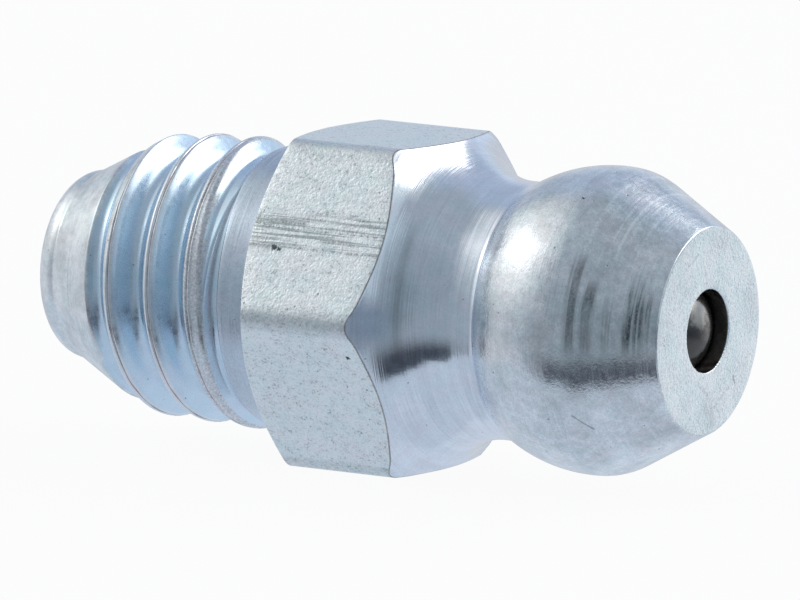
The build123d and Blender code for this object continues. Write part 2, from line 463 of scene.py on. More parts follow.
def build_body(materials):
    """The whole body as one closed skin: from the tail outside to the nose, and back through the bore."""
    lay_tail()
    lay_thread()
    seat_inner, seat = lay_relief_and_collar()
    ball_start = lay_flare_and_neck(lay_hexagon(seat_inner, seat))
    lay_grease_way(lay_head(ball_start))
    outline = np.array(rows + rows[:1]) * MM
    turn = np.radians(ANGLES)
    points = np.stack([outline.real, -outline.imag * np.cos(turn), outline.imag * np.sin(turn)], axis=2)
    columns = len(ANGLES)
    faces = []
    zones = []
    for j in range(len(outline) - 1):
        for i in range(columns - 1):
            corner = j * columns + i
            faces.append((corner, corner + columns, corner + columns + 1, corner + 1))
            zones.append(row_zones[j][i])
    mesh = bpy.data.meshes.new("nipple_body")
    mesh.from_pydata(points.reshape(-1, 3).tolist(), [], faces)
    mesh.polygons.foreach_set("material_index", zones)
    work = bmesh.new()
    work.from_mesh(mesh)
    bmesh.ops.remove_doubles(work, verts=work.verts, dist=MERGE_DISTANCE * MM)
    bmesh.ops.recalc_face_normals(work, faces=work.faces)
    work.to_mesh(mesh)
    work.free()
    piece = add_piece("nipple_body", mesh, materials)
    weighted = piece.modifiers.new("weighted", "WEIGHTED_NORMAL")
    weighted.keep_sharp = False
    return piece


def tube(name, centres, frames, radius, sides):
    """Closed tube round a line of centres. Each frame is a pair of unit vectors across the line."""
    points = []
    for centre, (across, up) in zip(centres, frames):
        for side in range(sides):
            angle = 2 * pi * side / sides
            points.append(centre + radius * (across * cos(angle) + up * sin(angle)))
    faces = []
    for i in range(len(centres) - 1):
        for side in range(sides):
            onward = (side + 1) % sides
            back, front = i * sides, (i + 1) * sides
            faces.append((back + side, back + onward, front + onward, front + side))
    faces.append(tuple(range(sides))[::-1])
    faces.append(tuple((len(centres) - 1) * sides + side for side in range(sides)))
    mesh = bpy.data.meshes.new(name)
    mesh.from_pydata([tuple(p * MM) for p in points], [], faces)
    return mesh


def build_spring(material):
    """Round wire: a closed turn behind, the active turns, and a closed turn against the ball."""
    reach = BALL_RADIUS + WIRE_RADIUS + BALL_CLEARANCE
    front = BALL_CENTRE - sqrt(reach**2 - COIL_RADIUS**2)
    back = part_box("spring")[0].x / MM + WIRE_RADIUS
    active = front - back - 2 * CLOSED_PITCH
    centres = []
    frames = []
    turns = ACTIVE_TURNS + 2
    for i in range(turns * TURN_STEPS + 1):
        turn = i / TURN_STEPS
        angle = 2 * pi * turn
        open_turns = min(max(turn - 1, 0), ACTIVE_TURNS)
        x = back + CLOSED_PITCH * (turn - open_turns) + active * open_turns / ACTIVE_TURNS
        outward = Vector((0, -sin(angle), cos(angle)))
        centres.append(Vector((x, 0, 0)) + COIL_RADIUS * outward)
        frames.append((outward, Vector((1, 0, 0))))
    mesh = tube("spring_wire", centres, frames, WIRE_RADIUS, WIRE_SIDES)
    return add_piece("spring_wire", mesh, [material])


def build_ball(material):
    """Check ball, with the narrow band that its seat has bedded in."""
    mesh = bpy.data.meshes.new("ball")
    work = bmesh.new()
    bmesh.ops.create_icosphere(work, subdivisions=6, radius=BALL_RADIUS * MM)
    for vertex in work.verts:
        from_band = asin(max(-1, min(1, vertex.co.x / (BALL_RADIUS * MM)))) - BALL_SEAT_ANGLE
        if abs(from_band) < BEDDED_HALF:
            vertex.co *= cos(BEDDED_HALF) / cos(from_band)
        vertex.co.x += BALL_CENTRE * MM
    work.to_mesh(mesh)
    work.free()
    return add_piece("ball", mesh, [material])


def add_node(tree, kind, inputs=None, **settings):
    """Adds a node. An input is a value, or the socket that feeds it."""
    node = tree.nodes.new(kind)
    for name, value in settings.items():
        setattr(node, name, value)
    for name, value in (inputs or {}).items():
        if isinstance(value, bpy.types.NodeSocket):
            tree.links.new(value, node.inputs[name])
        else:
            node.inputs[name].default_value = value
    return node


def maths(tree, operation, first, second=0.0, clamp=False):
    """Result of a sum with one or two values."""
    inputs = {0: first, 1: second}
    return add_node(tree, "ShaderNodeMath", inputs, operation=operation, use_clamp=clamp).outputs[0]


def times(tree, first, *others):
    """Product of several values."""
    for other in others:
        first = maths(tree, "MULTIPLY", first, other)
    return first


def vector_maths(tree, operation, inputs, output="Vector"):
    """Result of a sum with vectors."""
    return add_node(tree, "ShaderNodeVectorMath", inputs, operation=operation).outputs[output]


def distance(tree, place, mark):
    """How far a place is from a mark."""
    return vector_maths(tree, "DISTANCE", {0: place, 1: mark}, "Value")


def vector_of(tree, x, y, z):
    """Vector of three values."""
    return add_node(tree, "ShaderNodeCombineXYZ", {0: x, 1: y, 2: z}).outputs[0]


def blend_colour(tree, share, first, second, blend_type="MIX"):
    """The first colour, with a share of the second laid over it."""
    inputs = {0: share, 6: first, 7: second}
    return add_node(tree, "ShaderNodeMix", inputs, data_type="RGBA", blend_type=blend_type).outputs[2]


def between(tree, value, low, high, to_low=0.0, to_high=1.0, smooth=True):
    """Maps a value from one range to another, smoothly and within the ends."""
    kind = "SMOOTHSTEP" if smooth else "LINEAR"
    inputs = {"Value": value, "From Min": low, "From Max": high, "To Min": to_low, "To Max": to_high}
    return add_node(tree, "ShaderNodeMapRange", inputs, interpolation_type=kind).outputs[0]


def band(tree, value, low, high, edge):
    """1 between two values, fading to 0 over an edge on each side."""
    rise = between(tree, value, low - edge / 2, low + edge / 2)
    fall = between(tree, value, high - edge / 2, high + edge / 2, 1.0, 0.0)
    return times(tree, rise, fall)


def stripe(tree, value, middle, core, half, strength):
    """A strength where a value is within a core of its middle, fading to 0 at its half width."""
    aside = maths(tree, "ABSOLUTE", maths(tree, "SUBTRACT", value, middle))
    return between(tree, aside, core, half, strength, 0.0)


def noise(tree, vector, scale, detail, roughness):
    """Smooth noise about 0.5, with a number of grains in each unit of the vector."""
    inputs = {"Vector": vector, "Scale": scale, "Detail": detail, "Roughness": roughness}
    return add_node(tree, "ShaderNodeTexNoise", inputs).outputs[0]


def drawn_noise(tree, x, y, z, scales, detail, roughness):
    """Noise with a scale of its own along each axis: marks lie along the axis with the lowest scale."""
    vector = vector_of(tree, *[times(tree, value, scale) for value, scale in zip((x, y, z), scales)])
    return noise(tree, vector, 1.0, detail, roughness)


def uneven(tree, value, amount):
    """A noise as an amount of unevenness about 0."""
    return times(tree, maths(tree, "SUBTRACT", value, 0.5), amount)


def shade_by(tree, value, amount):
    """Brightness factor that follows a noise, one on average."""
    low = maths(tree, "SUBTRACT", 1.0, amount)
    high = maths(tree, "ADD", 1.0, amount)
    return between(tree, value, *NOISE_RANGE, low, high, smooth=False)


def spots(tree, place, fine, marks):
    """1 on each of some ragged marks, given by their places and radii in millimetres."""
    share = 0.0
    ragged = uneven(tree, fine, MARK_RAGGEDNESS)
    for mark, radius in marks:
        away = maths(tree, "ADD", distance(tree, place.vector, mark), ragged)
        share = maths(tree, "MAXIMUM", share, between(tree, away, radius * 0.5, radius, 1.0, 0.0))
    return share


def scratch(tree, place, start, end, width):
    """1 along a thin line between two places."""
    way = Vector(end) - Vector(start)
    out = vector_maths(tree, "SUBTRACT", {0: place.vector, 1: start})
    along = vector_maths(tree, "DOT_PRODUCT", {0: out, 1: way / way.length_squared}, "Value")
    share = maths(tree, "ADD", along, 0.0, clamp=True)
    nearest = vector_maths(tree, "SCALE", {0: way, "Scale": share})
    return between(tree, distance(tree, out, nearest), width * 0.3, width, 1.0, 0.0)


def pits(tree, place, share):
    """Small pits of uneven size, in a share of the cells of a lattice."""
    cells = add_node(tree, "ShaderNodeTexVoronoi", {"Vector": place.vector, "Scale": PIT_CELLS}, feature="F1")
    picked = add_node(tree, "ShaderNodeSeparateColor", {0: cells.outputs["Color"]}).outputs
    size = times(tree, picked[1], PIT_RADIUS * PIT_CELLS)
    from_edge = maths(tree, "SUBTRACT", cells.outputs["Distance"], size)
    inside = between(tree, from_edge, *PIT_EDGE, 1.0, 0.0)
    return times(tree, inside, maths(tree, "LESS_THAN", picked[0], share))


def new_metal(name):
    """Metal material, its node tree and its shader."""
    material = bpy.data.materials.new(name)
    material.use_nodes = True
    shader = material.node_tree.nodes["Principled BSDF"]
    shader.inputs["Metallic"].default_value = 1.0
    return material, material.node_tree, shader


def add_bump(tree, shader, height, scale):
    """Raises the surface by a height times a scale in millimetres."""
    bump = add_node(tree, "ShaderNodeBump", {"Strength": 1.0, "Distance": scale * MM, "Height": height})
    tree.links.new(bump.outputs[0], shader.inputs["Normal"])


class Place:
    """Position on the object in millimetres: a vector, its coordinates, and how it lies about the axis."""

    def __init__(self, tree):
        metres = add_node(tree, "ShaderNodeTexCoord").outputs["Object"]
        self.vector = vector_maths(tree, "SCALE", {0: metres, "Scale": 1 / MM})
        self.x, self.y, self.z = add_node(tree, "ShaderNodeSeparateXYZ", {0: self.vector}).outputs
        self.from_axis = vector_of(tree, 0.0, self.y, self.z)
        self.radius = vector_maths(tree, "LENGTH", {0: self.from_axis}, "Value")


# Zinc's texture: grains in a millimetre, along each axis where the marks have a direction.
FINE_SCALE = 21.0
SPECK_SCALE = 17.0
PEBBLE_SCALE = 11.0
BLOTCH_SCALE = 5.5
TINT_SCALE = 1.9
BROAD_SCALE = 1.3
COARSE_RING_SCALES = (8.0, 0.2, 0.2)
FINE_RING_SCALES = (25.0, 0.7, 0.7)
WORN_SCALES = (1.9, 0.8, 0.8)
DRAW_SCALES = (0.45, 15.0, 15.0)

# Ranges of a noise: its usual one, and where the effects named here start and are full.
NOISE_RANGE = (0.25, 0.75)
TINT_RANGE = (0.35, 0.65)
ROUGHNESS_RANGE = (0.3, 0.7)
WORN_RANGE = (0.40, 0.62)
SPECK_RANGE = (0.54, 0.61)
GATHERED_SPECKS = (0.45, 0.60, 0.15, 1.0)

# Zinc's pits: cells in a millimetre, the largest radius and the depth in millimetres, and their darkness.
PIT_CELLS = 6.5
PIT_RADIUS = 0.024
PIT_DEPTH = 0.01
PIT_EDGE = (-0.02, 0.05)
PIT_SHARE = 0.55
PIT_COLOUR = (0.10, 0.12, 0.12, 1)
MARK_RAGGEDNESS = 0.12

# Tints that zinc drifts between, the brightness a rough crest keeps, and shares of ring and drawing marks.
COOL = (0.975, 1.005, 1.0)
WARM = (1.02, 0.995, 1.0)
ROUGH_CREST_BRIGHTNESS = 0.84
FINE_RING_CONTRAST = 1.6
COARSE_RING_DEPTH = 0.5
FINE_RING_DEPTH = 0.45
DRAWN_DEPTH = 0.01
ROUGHNESS_SPREAD = 0.25


class Texture:
    """Noises that zinc's finish is made of. A station says how far rings follow the axis and the radius."""

    def __init__(self, tree, place, station):
        x, y, z = place.x, place.y, place.z
        ring = maths(tree, "ADD", times(tree, x, station[0]), times(tree, place.radius, station[1]))
        self.fine = noise(tree, place.vector, FINE_SCALE, 1.5, 0.6)
        self.specks = noise(tree, place.vector, SPECK_SCALE, 3.0, 0.75)
        self.pebbles = noise(tree, place.vector, PEBBLE_SCALE, 1.0, 0.5)
        self.blotches = noise(tree, place.vector, BLOTCH_SCALE, 3.0, 0.6)
        self.tint = noise(tree, vector_of(tree, x, z, y), TINT_SCALE, 2.0, 0.5)
        self.broad = noise(tree, place.vector, BROAD_SCALE, 2.0, 0.5)
        self.coarse_rings = drawn_noise(tree, ring, y, z, COARSE_RING_SCALES, 3.0, 0.65)
        worn = between(tree, drawn_noise(tree, ring, y, z, WORN_SCALES, 2.0, 0.5), *WORN_RANGE)
        fine_rings = drawn_noise(tree, ring, y, z, FINE_RING_SCALES, 1.0, 0.5)
        self.fine_rings = maths(tree, "ADD", uneven(tree, fine_rings, worn), 0.5)
        self.draw_marks = drawn_noise(tree, x, y, z, DRAW_SCALES, 2.0, 0.6)


def zinc(
    name, colour, roughness, grain=0.1, sparkle=0.0006, patches=0.08, rings=0.0, ring_height=0.0,
    station=(1.0, 0.0), spread=0.0, drawn=0.0, speckled=0.0, pitted=0.25, marks=(), wear_and_painted_light=(),
    rough_crest=None, turned=None,
):
    """Zinc plate: grained blue-white metal, with turning or drawing marks, patches, pits, its own wear and
    painted light and shade.
    """
    material, tree, shader = new_metal(name)
    place = Place(tree)
    texture = Texture(tree, place, station)

    def zinc_brightness():
        """Factor of the colour, from all the textures, the wear and the painted light and shade."""
        factors = [shade_by(tree, texture.blotches, patches), shade_by(tree, texture.broad, patches)]
        if rough_crest:
            start, end, rough_grain = rough_crest
            grown = between(tree, place.x, start, end, grain, rough_grain)
            factors.append(shade_by(tree, texture.fine, grown))
            factors.append(between(tree, place.x, start, end, 1.0, ROUGH_CREST_BRIGHTNESS))
        else:
            factors.append(shade_by(tree, texture.fine, grain))
        if rings:
            factors.append(shade_by(tree, texture.coarse_rings, rings))
            factors.append(shade_by(tree, texture.fine_rings, rings * FINE_RING_CONTRAST))
        if drawn:
            factors.append(shade_by(tree, texture.draw_marks, drawn))
        if speckled:
            gathered = between(tree, texture.blotches, *GATHERED_SPECKS)
            specks = times(tree, between(tree, texture.specks, *SPECK_RANGE), gathered, speckled)
            factors.append(maths(tree, "SUBTRACT", 1.0, specks))
        factors.extend(marking(tree, place, texture) for marking in wear_and_painted_light)
        return times(tree, *factors)

    def zinc_height(pitting):
        """Height in millimetres, from grain, rings, drawing marks and pits."""
        height = times(tree, maths(tree, "ADD", texture.fine, texture.pebbles), sparkle)
        if ring_height:
            coarse = times(tree, texture.coarse_rings, COARSE_RING_DEPTH)
            ring_marks = maths(tree, "ADD", coarse, times(tree, texture.fine_rings, FINE_RING_DEPTH))
            if turned:
                start, end, deeper = turned
                ring_marks = times(tree, ring_marks, between(tree, place.x, start, end, 1.0, deeper))
            height = maths(tree, "ADD", height, times(tree, ring_marks, ring_height))
        if drawn:
            height = maths(tree, "ADD", height, times(tree, texture.draw_marks, drawn * DRAWN_DEPTH))
        return maths(tree, "SUBTRACT", height, times(tree, pitting, PIT_DEPTH))

    cool, warm = ([min(1, value * by) for value, by in zip(colour, tint)] + [1] for tint in (COOL, WARM))
    base = blend_colour(tree, between(tree, texture.tint, *TINT_RANGE), cool, warm)
    brightness = zinc_brightness()
    grey = vector_of(tree, brightness, brightness, brightness)
    base = blend_colour(tree, 1.0, base, grey, "MULTIPLY")
    pitting = times(tree, pits(tree, place, pitted), PIT_SHARE)
    if marks:
        pitting = maths(tree, "MAXIMUM", pitting, spots(tree, place, texture.fine, marks))
    base = blend_colour(tree, pitting, base, PIT_COLOUR)
    tree.links.new(base, shader.inputs["Base Color"])

    rough_by = texture.blotches
    if rings:
        rough_by = times(tree, maths(tree, "ADD", texture.blotches, texture.fine_rings), 0.5)
    smoothest = roughness * (1 - ROUGHNESS_SPREAD)
    roughest = roughness * (1 + ROUGHNESS_SPREAD)
    rough = between(tree, rough_by, *ROUGHNESS_RANGE, smoothest, roughest)
    tree.links.new(rough, shader.inputs["Roughness"])
    add_bump(tree, shader, zinc_height(pitting), 1.0)
    if spread:
        shader.inputs["Anisotropic"].default_value = spread
        shader.inputs["Anisotropic Rotation"].default_value = 0.25
        round_axis = add_node(tree, "ShaderNodeTangent", direction_type="RADIAL", axis="X")
        tree.links.new(round_axis.outputs[0], shader.inputs["Tangent"])
    return material


# What shows of the check ball through the orifice: a painted glint above the middle, in painted shade.
BALL_PAINTED_GLINT = (0, -0.12, 0.42)
BALL_PAINTED_GLINT_COLOUR = (0.50, 0.47, 0.43, 1)
BALL_PAINTED_SHADE_COLOUR = (0.10, 0.095, 0.09, 1)


def ball_steel():
    """Oiled steel of the check ball, its colour a painted glint above the middle fading into painted shade.
    """
    material, tree, shader = new_metal("ball_steel")
    place = Place(tree)
    fine = noise(tree, place.vector, 7.0, 3.0, 0.6)
    away = maths(tree, "ADD", distance(tree, place.from_axis, BALL_PAINTED_GLINT), uneven(tree, fine, 0.5))
    base = blend_colour(tree, between(tree, away, 0.08, 0.50), BALL_PAINTED_GLINT_COLOUR, BALL_PAINTED_SHADE_COLOUR)
    tree.links.new(base, shader.inputs["Base Color"])
    tree.links.new(between(tree, fine, *ROUGHNESS_RANGE, 0.16, 0.3), shader.inputs["Roughness"])
    add_bump(tree, shader, fine, 0.002)
    return material


def spring_steel():
    """Drawn wire of the spring."""
    material, tree, shader = new_metal("spring_steel")
    fine = noise(tree, Place(tree).vector, 30.0, 3.0, 0.6)
    base = blend_colour(tree, fine, (0.32, 0.31, 0.30, 1), (0.55, 0.54, 0.52, 1))
    tree.links.new(base, shader.inputs["Base Color"])
    tree.links.new(between(tree, fine, *ROUGHNESS_RANGE, 0.25, 0.45), shader.inputs["Roughness"])
    add_bump(tree, shader, fine, 0.004)
    return material


# Camera: the photograph's viewing angle, from far off with a long lens.
VIEW_AZIMUTH = radians(30.277)
VIEW_ELEVATION = radians(9.706)
VIEW_ROLL = radians(0.702)
VIEW_DISTANCE = 331.33
VIEW_TARGET = Vector((1.845, -0.007, -0.057))
FOCAL_PIXELS = 15691
IMAGE_WIDTH = 800
SENSOR = 36.0


def direction(azimuth, elevation):
    """Unit vector: azimuth 0 is -Y and 90 degrees is +X, both in radians."""
    return Vector((sin(azimuth) * cos(elevation), -cos(azimuth) * cos(elevation), sin(elevation)))


def add_camera():
    data = bpy.data.cameras.new("camera")
    data.sensor_width = SENSOR
    data.lens = FOCAL_PIXELS / IMAGE_WIDTH * SENSOR
    camera = bpy.data.objects.new("camera", data)
    bpy.context.scene.collection.objects.link(camera)
    back = direction(VIEW_AZIMUTH, VIEW_ELEVATION)
    level = Vector((cos(VIEW_AZIMUTH), sin(VIEW_AZIMUTH), 0))
    upright = back.cross(level)
    right = level * cos(VIEW_ROLL) + upright * sin(VIEW_ROLL)
    up = upright * cos(VIEW_ROLL) - level * sin(VIEW_ROLL)
    place = Matrix((right, up, back)).transposed().to_4x4()
    place.translation = (VIEW_TARGET + VIEW_DISTANCE * back) * MM
    camera.matrix_world = place
    bpy.context.scene.camera = camera


def add_softbox(name, azimuth, elevation, away, width, height, level):
    """Area lamp aimed at the object, whose surface has a given brightness. Angles are in degrees."""
    data = bpy.data.lights.new(name, "AREA")
    data.shape = "RECTANGLE"
    data.size = width * MM
    data.size_y = height * MM
    data.energy = level * pi * width * height * MM * MM
    lamp = bpy.data.objects.new(name, data)
    bpy.context.scene.collection.objects.link(lamp)
    outward = direction(radians(azimuth), radians(elevation))
    lamp.location = outward * away * MM
    lamp.rotation_mode = "QUATERNION"
    lamp.rotation_quaternion = outward.to_track_quat("Z", "Y")
    lamp.visible_camera = False


# Colours of the studio that the metal reflects.
WALLS = (0.36, 0.41, 0.465, 1)
MIDDLE = (0.30, 0.35, 0.40, 1)
SHADE = (0.22, 0.27, 0.31, 1)
GLOW = (0.98, 1.0, 1.0, 1)
SIDE = (0.54, 0.62, 0.69, 1)
SIDE_LOW = (0.21, 0.26, 0.33, 1)
LEFT = (0.62, 0.65, 0.70, 1)
REAR = (0.42, 0.49, 0.62, 1)
REAR_LOW = (0.63, 0.72, 0.87, 1)
REAR_RIGHT = (0.88, 0.92, 0.96, 1)
DUSK = (0.17, 0.19, 0.22, 1)
DARK = (0.055, 0.065, 0.085, 1)
TABLE = (0.53, 0.59, 0.68, 1)
TABLE_FAR = (0.62, 0.68, 0.77, 1)
WHITE = (1.0, 1.0, 1.0, 1)

# The table's edge, as azimuths where it changes and its elevations: a low front that rises on the right, a
# dip with soft ends, and a rise on the left. All are in degrees, and so are the fields of the walls.
TABLE_RIGHT = (68.0, 90.0, -38.0, -18.0)
TABLE_DIP_RANGE = (12.0, 55.0, 20.0)
TABLE_DIP = 4.0
TABLE_LEFT_RISE = (-48.0, -18.0, 15.0, 0.0)
TABLE_SOFTNESS = 1.5
TABLE_FAR_START = (100.0, 125.0)
TABLE_FAR_HEIGHTS = (-58.0, -20.0, 8.0)
NO_END = 400


def add_world():
    """Studio of soft blue-grey walls and a table, which the metal reflects. The camera sees plain white."""
    world = bpy.data.worlds.new("studio")
    world.use_nodes = True
    bpy.context.scene.world = world
    tree = world.node_tree
    background = tree.nodes["Background"]
    towards = add_node(tree, "ShaderNodeTexCoord").outputs["Generated"]
    x, y, z = add_node(tree, "ShaderNodeSeparateXYZ", {0: towards}).outputs
    elevation = times(tree, maths(tree, "ARCSINE", z), 180 / pi)
    azimuth = times(tree, maths(tree, "ARCTAN2", x, times(tree, y, -1.0)), 180 / pi)
    either_side = maths(tree, "ABSOLUTE", azimuth)

    # Fields of the walls, one over the other: the angle and its range and soft edge, then the elevation's.
    fields = (
        (MIDDLE, azimuth, -26, 72, 28, -26, 48, 24),
        (SHADE, azimuth, 24, 62, 18, -10, 22, 16),
        (REAR, either_side, 123.5, NO_END, 23, 10, 66, 24),
        (REAR_LOW, either_side, 148, NO_END, 16, -16, 22, 14),
        (REAR_RIGHT, azimuth, 142, 178, 14, -24, 8, 14),
        (SIDE, azimuth, 74, 128, 20, -4, 40, 12),
        (SIDE_LOW, azimuth, 52, 125, 22, -17, 0, 8),
        (LEFT, azimuth, -200, -52, 30, -45, 14, 16),
        (GLOW, azimuth, -112, -43, 34, 12, 60, 26),
        (GLOW, azimuth, 107, 172, 26, 24, 52, 14),
        (DUSK, azimuth, -29, 74, 16, -44, -20, 10),
        (DARK, azimuth, -28, 70, 14, -44, -26, 7),
    )
    colour = WALLS
    for paint, angle, start, end, edge, low, high, height_edge in fields:
        across = band(tree, angle, start, end, edge)
        share = times(tree, across, band(tree, elevation, low, high, height_edge))
        colour = blend_colour(tree, share, colour, paint)

    table_edge = between(tree, azimuth, *TABLE_RIGHT)
    dip = times(tree, band(tree, azimuth, *TABLE_DIP_RANGE), TABLE_DIP)
    rise = between(tree, azimuth, *TABLE_LEFT_RISE)
    table_edge = maths(tree, "ADD", maths(tree, "SUBTRACT", table_edge, dip), rise)
    far = between(tree, either_side, *TABLE_FAR_START)
    far = times(tree, far, band(tree, elevation, *TABLE_FAR_HEIGHTS))
    table_colour = blend_colour(tree, far, TABLE, TABLE_FAR)
    above = maths(tree, "SUBTRACT", elevation, table_edge)
    colour = blend_colour(tree, between(tree, above, TABLE_SOFTNESS, -TABLE_SOFTNESS), colour, table_colour)
    seen = add_node(tree, "ShaderNodeLightPath").outputs["Is Camera Ray"]
    tree.links.new(blend_colour(tree, seen, colour, WHITE), background.inputs["Color"])
    background.inputs["Strength"].default_value = 1.0


FLOOR_REACH = 3000
FLOOR_COLOUR = (0.86, 0.88, 0.90, 1)
FLOOR_WHITE_SHARE = 0.94


def add_floor():
    """Pale floor, white to the camera except for a soft part of the object's shadow."""
    reach = FLOOR_REACH * MM
    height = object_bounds()[0].z
    mesh = bpy.data.meshes.new("floor")
    corners = ((-reach, -reach), (reach, -reach), (reach, reach), (-reach, reach))
    mesh.from_pydata([(x, y, height) for x, y in corners], [], [(0, 1, 2, 3)])
    floor = bpy.data.objects.new("floor", mesh)
    bpy.context.scene.collection.objects.link(floor)
    material = bpy.data.materials.new("floor")
    material.use_nodes = True
    tree = material.node_tree
    tree.nodes.remove(tree.nodes["Principled BSDF"])
    pale = add_node(tree, "ShaderNodeBsdfDiffuse", {"Color": FLOOR_COLOUR})
    white = add_node(tree, "ShaderNodeEmission", {"Color": WHITE, "Strength": 1.0})
    seen = times(tree, add_node(tree, "ShaderNodeLightPath").outputs["Is Camera Ray"], FLOOR_WHITE_SHARE)
    mixed = add_node(tree, "ShaderNodeMixShader", {0: seen, 1: pale.outputs[0], 2: white.outputs[0]})
    tree.links.new(mixed.outputs[0], tree.nodes["Material Output"].inputs["Surface"])
    mesh.materials.append(material)
    floor.visible_glossy = False


# Wear and painted light and shade, in millimetres. Each front is the range of y over which a mark starts and
# is full.
# The hexagon's front: a drawn band between two heights, and the height, half width and strength of scratches.
FLAT_FRONT = (-2.4, -2.6)
FLAT_BAND = (1.50, 2.26, 0.16)
FLAT_RAGGEDNESS = 0.14
FLAT_SCRATCHES = (
    (1.97, 0.04, 0.44),
    (1.82, 0.055, 0.60),
    (1.66, 0.025, 0.40),
    (1.42, 0.05, 0.52),
)
FLAT_CORNERS = (3.86, 3.93, 1.0, 0.84)
FLAT_MARKS = (
    ((0.66, -3.24, 1.41), 0.08),
    ((0.78, -3.25, 1.39), 0.05),
    ((2.72, -3.64, -0.69), 0.05),
    ((0.45, -3.55, -0.94), 0.045),
)

# The flare's ring: its place, core, half width and strength.
FLARE_FRONT = (-1.6, -2.2)
FLARE_HEIGHTS = (-0.6, 1.9, 0.8)
FLARE_RING = (3.57, 0.01, 0.13, 0.24)

# The head: place, half width, top and strength of dark rings, partly wear and partly painted dark reflection;
# place, half width and gain of painted highlights along turned arcs; and the ends of nicks.
HEAD_FRONT = (-1.6, -2.0)
HEAD_RINGS = (
    (7.68, 0.15, 1.75, 0.50),
    (7.99, 0.17, 1.25, 0.58),
    (8.36, 0.10, 1.0, 0.25),
    (8.80, 0.17, 1.25, 0.72),
    (9.04, 0.13, 1.0, 0.62),
)
HEAD_RING_FOOT = -0.1
HEAD_RING_FADE = 0.6
HEAD_HIGHLIGHT_HEIGHTS = (1.5, 2.2)
HEAD_HIGHLIGHT_ARCS = (
    (8.27, 0.04, 0.34),
    (8.12, 0.025, 0.18),
    (7.72, 0.06, 0.16),
    (8.62, 0.03, 0.14),
)
HEAD_NICKS = (
    ((7.61, -2.72, -1.56), (7.91, -2.32, -1.87)),
    ((7.66, -2.66, -1.50), (7.72, -2.50, -1.74)),
)
HEAD_NICK_WIDTH = 0.03
HEAD_NICK_STRENGTH = 0.45
HEAD_MARKS = (((7.17, -1.58, 2.84), 0.05),)

# The nose face, as y and z on it: the middle, core, reach and strength of a smear, and the ends and the
# strength of nicks.
NOSE_SMEAR = (0.05, -1.78)
NOSE_SMEAR_FADE = (0.1, 0.55, 0.20, 0.0)
NOSE_NICKS = (
    ((1.10, -1.12), (1.18, -1.26), 0.40),
    ((-0.30, -1.15), (0.10, -1.42), 0.16),
    ((0.55, -1.50), (0.95, -1.30), 0.14),
    ((-0.85, 1.50), (-0.45, 1.68), 0.16),
    ((-1.20, 0.70), (-0.95, 1.05), 0.12),
)
NOSE_NICK_WIDTH = 0.045


def draw_scratches(tree, place, texture):
    """Deep drawing scratches in a band along the upper front flat."""
    fine, draw_marks = texture.fine, texture.draw_marks
    ragged = times(tree, maths(tree, "ADD", draw_marks, fine), FLAT_RAGGEDNESS)
    on_flat = band(tree, maths(tree, "ADD", place.z, ragged), *FLAT_BAND)
    on_flat = times(tree, on_flat, between(tree, place.y, *FLAT_FRONT))
    deep = times(tree, between(tree, draw_marks, 0.54, 0.40), between(tree, fine, 0.3, 0.6, 0.45, 1.2))
    scratched = maths(tree, "SUBTRACT", times(tree, deep, 0.48), 0.05)
    for height, half, strength in FLAT_SCRATCHES:
        line = times(
            tree,
            stripe(tree, place.z, height, half * 0.4, half, strength),
            between(tree, fine, 0.35, 0.55, 1.1, 0.35),
            between(tree, draw_marks, 0.60, 0.42, 0.4, 1.0),
        )
        scratched = maths(tree, "MAXIMUM", scratched, line)
    return maths(tree, "SUBTRACT", 1.0, times(tree, scratched, on_flat))


def darker_corners(tree, place, texture):
    """The hexagon's corners are a little darker than its flats."""
    return between(tree, place.radius, *FLAT_CORNERS)


def flare_dark_ring(tree, place, texture):
    """One dark turned ring in the flare's wide end, on the front."""
    ring = stripe(tree, place.x, *FLARE_RING)
    front = times(tree, band(tree, place.z, *FLARE_HEIGHTS), between(tree, place.y, *FLARE_FRONT))
    return maths(tree, "SUBTRACT", 1.0, times(tree, ring, front))


def head_wear_and_painted_light(tree, place, texture):
    """Dark rings along the front of the head and the nose cone, partly wear and partly painted dark
    reflection, and painted highlights on the tool's arcs above.
    """
    x, y, z, fine = place.x, place.y, place.z, texture.fine
    streaks = drawn_noise(tree, x, y, z, (15.0, 0.5, 0.5), 2.0, 0.6)
    smears = drawn_noise(tree, x, y, z, (4.0, 1.1, 1.1), 3.0, 0.6)
    # The worn share is partly wear and partly painted dark reflection, kept to the front.
    worn = 0.0
    for middle, half, top, strength in HEAD_RINGS:
        ring = stripe(tree, x, middle, half * 0.5, half, strength)
        reach = band(tree, z, HEAD_RING_FOOT, top, HEAD_RING_FADE)
        worn = maths(tree, "MAXIMUM", worn, times(tree, ring, reach))
    worn = times(
        tree,
        worn,
        between(tree, y, *HEAD_FRONT),
        between(tree, streaks, 0.38, 0.58, 0.35, 1.1),
        between(tree, fine, 0.3, 0.6, 0.7, 1.1),
        between(tree, smears, 0.36, 0.52, 0.6, 1.0),
    )
    factor = maths(tree, "SUBTRACT", 1.0, worn)
    # Painted highlights: bright arcs on the upper part only.
    above = times(tree, between(tree, z, *HEAD_HIGHLIGHT_HEIGHTS), between(tree, fine, 0.25, 0.6, 0.5, 1.0))
    for middle, half, gain in HEAD_HIGHLIGHT_ARCS:
        line = stripe(tree, x, middle, half * 0.3, half, gain)
        factor = maths(tree, "ADD", factor, times(tree, line, above))
    for start, end in HEAD_NICKS:
        nick = scratch(tree, place, start, end, HEAD_NICK_WIDTH)
        factor = maths(tree, "SUBTRACT", factor, times(tree, nick, HEAD_NICK_STRENGTH))
    return factor


